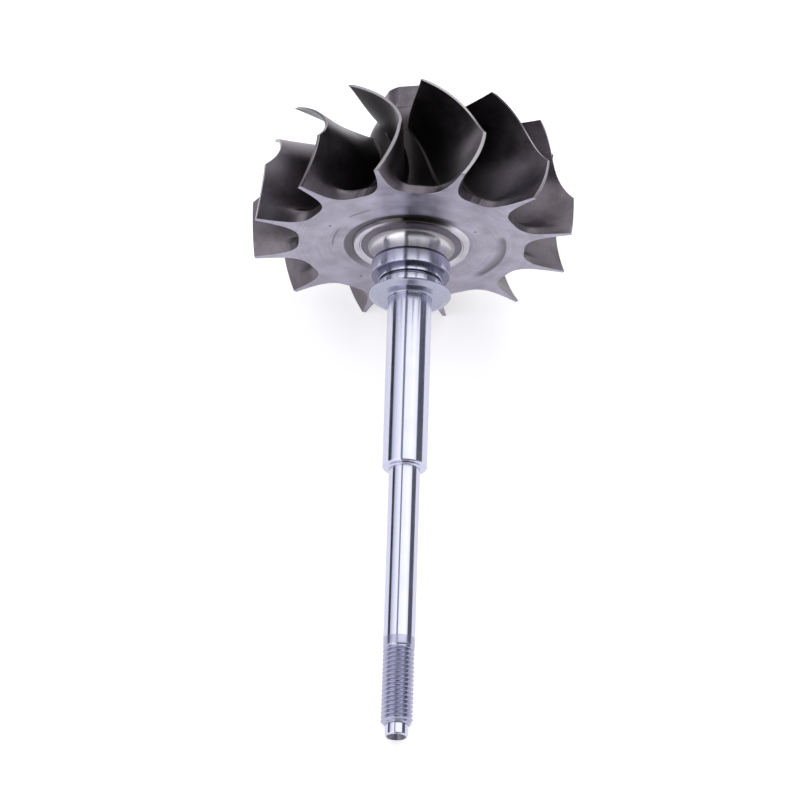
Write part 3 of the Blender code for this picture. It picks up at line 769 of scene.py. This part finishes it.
angles = np.linspace(0, 2 * math.pi, THREAD_SIDES, endpoint=False)
thread_rings = [circle(THREAD_RADIUS, STEM_END, angles)]
for z in np.arange(THREAD_START, THREAD_END + 0.01 * MM, THREAD_PITCH / RINGS_PER_PITCH):
    phase = ((z - THREAD_START) / THREAD_PITCH - angles / (2 * math.pi)) % 1.0
    from_root = 1 - np.abs(phase - 0.5) * 2
    height = np.clip((from_root - ROOT_SHARE / 2) / (1 - (CREST_SHARE + ROOT_SHARE) / 2), 0, 1)
    run_in = min(1.0, (z - THREAD_START) / THREAD_PITCH)
    radius = THREAD_ROOT_RADIUS + (THREAD_RADIUS - THREAD_ROOT_RADIUS) * (1 - run_in * (1 - height))
    thread_rings.append(circle(np.minimum(radius, THREAD_CHAMFER_FOOT + THREAD_END - z), z, angles))
points, faces = loft(thread_rings)
thread_steel = worked_steel("rolled_thread_steel", "9999af", "b4b4ca", 0.3, DULL_LINE, stretch=0.3)
add_piece("thread", points, faces, [thread_steel], "threaded_end", crease=50 * DEG)


# Pilot
# The short round end past the thread, with the centre hole in which the shaft ran while it was ground.
# Its side is ground with the shaft, and its end face and hole are left as they were turned.
PILOT_RADIUS = 2.5 * MM
PILOT_BREAK = 0.35 * MM
SHAFT_END = 118.0 * MM
CENTRE_HOLE_RADIUS = 1.0 * MM
CENTRE_HOLE_DEPTH = 1.6 * MM
TURNED_END_RADIUS = 2.25 * MM

hole_floor = SHAFT_END - CENTRE_HOLE_DEPTH
pilot = [(ON_AXIS, THREAD_END), (PILOT_RADIUS, THREAD_END), (PILOT_RADIUS, SHAFT_END - PILOT_BREAK),
         (PILOT_RADIUS - PILOT_BREAK, SHAFT_END), (2 * CENTRE_HOLE_RADIUS, SHAFT_END),
         (CENTRE_HOLE_RADIUS, SHAFT_END - CENTRE_HOLE_RADIUS), (CENTRE_HOLE_RADIUS, hole_floor),
         (ON_AXIS, hole_floor - CENTRE_HOLE_RADIUS / 2)]
# The end is turned and not ground: a satin, with wider lines than the shaft. Its dark grey is painted shade.
end_steel = worked_steel("shaded_turned_end_steel", "6a6674", "827e8c", 0.3, DULL_LINE)
turned("pilot", rounded(pilot, 0.06 * MM), [ground_steel, end_steel], "pilot_end",
       inner_radius=TURNED_END_RADIUS)


# Table
# A wide table with a white laminate top, in a white room so bright that the top hardly takes a shadow.
TABLE_HALF = 3.0
TABLE_CORNERS = [(-TABLE_HALF, -TABLE_HALF, 0), (TABLE_HALF, -TABLE_HALF, 0), (TABLE_HALF, TABLE_HALF, 0),
                 (-TABLE_HALF, TABLE_HALF, 0)]

table_mesh = bpy.data.meshes.new("table")
table_mesh.from_pydata(TABLE_CORNERS, [], [(0, 1, 2, 3)])
table = bpy.data.objects.new("table", table_mesh)
bpy.context.scene.collection.objects.link(table)
# Matt laminate has no gloss. Its own faint light stands for what the room throws back on it.
laminate = bpy.data.materials.new("matt_white_laminate")
laminate.use_nodes = True
table_shader = laminate.node_tree.nodes["Principled BSDF"]
table_shader.inputs["Base Color"].default_value = colour("cbcbce")
table_shader.inputs["Roughness"].default_value = 0.9
table_shader.inputs["Specular IOR Level"].default_value = 0.0
table_shader.inputs["Emission Color"].default_value = colour("fffdff")
table_shader.inputs["Emission Strength"].default_value = 0.6
table_mesh.materials.append(laminate)


# Studio light
# Two wide soft boxes hang over the table with a narrow gap between them, and their light falls off on
# the left. Behind the wheel it is dark near the table. In front, on the left, is a bright window, and
# to its right stands a dark card, which gives the polished steel its dark bands.
# Angle in degrees from the right over the top to the left, and how bright the light is there.
SKY_LEVELS = [(0, 0.2), (7, 0.2), (9, 0.15), (35, 0.17), (39, 1.6), (60, 1.9), (101, 1.7), (104, 0.4),
              (112, 0.4), (114, 1.75), (123, 1.55), (133, 1.4), (144, 1.2), (150, 1.05), (157, 0.9),
              (161, 0.06), (180, 0.06)]
SKY_SCALE = 4.0
WINDOW = 2.2
RIGHT_WALL = 1.2
SILL = 0.06
SILL_FROM = 0.06
SILL_TO = 0.16
WINDOW_TOP_FROM = 0.8
WINDOW_TOP_TO = 0.6
FRONT_FROM = 0.05
FRONT_TO = 0.35
CARD = 0.07
CARD_LEFT = -0.26
CARD_LEAN = 0.25
CARD_RIGHT = 0.84
CARD_EDGE = 0.13
CARD_FROM = 0.25
CARD_TO = 0.6
COOL_BELOW = 0.8
WHITE_FROM = 1.6
BACKDROP = 0.93

world = bpy.data.worlds.new("studio")
bpy.context.scene.world = world
world.use_nodes = True
tree = world.node_tree
background = tree.nodes["Background"]
way = add(tree, "ShaderNodeTexCoord", output="Generated")
ways = add(tree, "ShaderNodeSeparateXYZ", {"Vector": way}).node.outputs
to_right, up = ways["X"], ways["Z"]
forward = add(tree, "ShaderNodeMath", {0: ways["Y"], 1: -1.0}, operation="MULTIPLY")

above_table = add(tree, "ShaderNodeMath", {0: up, 1: 0.0}, operation="MAXIMUM")
over = add(tree, "ShaderNodeMath", {0: above_table, 1: to_right}, operation="ARCTAN2")
over_share = add(tree, "ShaderNodeMath", {0: over, 1: math.pi}, operation="DIVIDE")
sky = add(tree, "ShaderNodeValToRGB", {"Fac": over_share})
stops = sky.node.color_ramp.elements
stops[0].position, stops[1].position = 0.0, 1.0
for turn, level in SKY_LEVELS:
    if 0 < turn < 180:
        stop = stops.new(turn / 180)
    else:
        stop = stops[0] if turn == 0 else stops[len(stops) - 1]
    stop.color = [level / SKY_SCALE] * 3 + [1.0]
boxes = add(tree, "ShaderNodeMath", {0: sky, 1: SKY_SCALE}, operation="MULTIPLY")

at_left = add(tree, "ShaderNodeMapRange", {"Value": to_right, "From Min": CARD_RIGHT, "From Max": CARD_LEFT},
              interpolation_type="SMOOTHSTEP")
front = add(tree, "ShaderNodeMapRange", {"Value": at_left, "To Min": RIGHT_WALL, "To Max": WINDOW},
            interpolation_type="SMOOTHSTEP")
over_sill = add(tree, "ShaderNodeMapRange",
                {"Value": up, "From Min": SILL_FROM, "From Max": SILL_TO, "To Min": SILL},
                interpolation_type="SMOOTHSTEP")
front = add(tree, "ShaderNodeMath", {0: front, 1: over_sill}, operation="MULTIPLY")
in_front = add(tree, "ShaderNodeMapRange", {"Value": forward, "From Min": FRONT_FROM, "From Max": FRONT_TO},
               interpolation_type="SMOOTHSTEP")
under_top = add(tree, "ShaderNodeMapRange",
                {"Value": up, "From Min": WINDOW_TOP_FROM, "From Max": WINDOW_TOP_TO},
                interpolation_type="SMOOTHSTEP")
in_window = add(tree, "ShaderNodeMath", {0: in_front, 1: under_top}, operation="MULTIPLY")
light = add(tree, "ShaderNodeMix", {"Factor": in_window, "A": boxes, "B": front}, data_type="FLOAT")

lean = add(tree, "ShaderNodeMath", {0: up, 1: CARD_LEAN}, operation="MULTIPLY")
leaning = add(tree, "ShaderNodeMath", {0: to_right, 1: lean}, operation="ADD")
on_card = add(tree, "ShaderNodeMapRange", {"Value": forward, "From Min": CARD_FROM, "From Max": CARD_TO},
              interpolation_type="SMOOTHSTEP")
card_sides = [(leaning, CARD_LEFT, CARD_LEFT + CARD_EDGE), (to_right, CARD_RIGHT + CARD_EDGE, CARD_RIGHT)]
for side, outer, inner in card_sides:
    inside = add(tree, "ShaderNodeMapRange", {"Value": side, "From Min": outer, "From Max": inner},
                 interpolation_type="SMOOTHSTEP")
    on_card = add(tree, "ShaderNodeMath", {0: on_card, 1: inside}, operation="MULTIPLY")
light = add(tree, "ShaderNodeMix", {"Factor": on_card, "A": light, "B": CARD}, data_type="FLOAT")

bright = add(tree, "ShaderNodeMapRange", {"Value": light, "From Min": COOL_BELOW, "From Max": WHITE_FROM},
             interpolation_type="SMOOTHSTEP")
tone = add(tree, "ShaderNodeMix", {"Factor": bright, "A": colour("f0f3ff"), "B": colour("ffffff")}, "Result",
           data_type="RGBA")
# In place of the light itself, the camera sees a plain pale backdrop.
in_view = add(tree, "ShaderNodeLightPath", output="Is Camera Ray")
seen = add(tree, "ShaderNodeMix", {"Factor": in_view, "A": light, "B": BACKDROP}, data_type="FLOAT")
tree.links.new(tone, background.inputs["Color"])
tree.links.new(seen, background.inputs["Strength"])


# Camera
# It looks down on the rotor from in front of the thread, as the photograph does, through a long lens.
VIEW_POINT = rotor @ Vector((-1.16 * MM, -14.59 * MM, 32.05 * MM))
VIEW_AZIMUTH = -2.465 * DEG
VIEW_ELEVATION = 49.725 * DEG
VIEW_ROLL = 4.445 * DEG
VIEW_DISTANCE = 0.7907
LENS_MM = 155.8
SENSOR_MM = 36.0

camera = bpy.data.objects.new("camera", bpy.data.cameras.new("camera"))
bpy.context.scene.collection.objects.link(camera)
bpy.context.scene.camera = camera
camera.data.lens = LENS_MM
camera.data.sensor_width = SENSOR_MM
camera.data.clip_start = 0.01
aim = Euler((math.pi / 2 - VIEW_ELEVATION, 0, VIEW_AZIMUTH), "XYZ").to_matrix()
aim = aim @ Matrix.Rotation(VIEW_ROLL, 3, "Z")
camera.matrix_world = Matrix.Translation(VIEW_POINT + aim @ Vector((0, 0, VIEW_DISTANCE))) @ aim.to_4x4()
bpy.context.scene.view_settings.view_transform = "Standard"
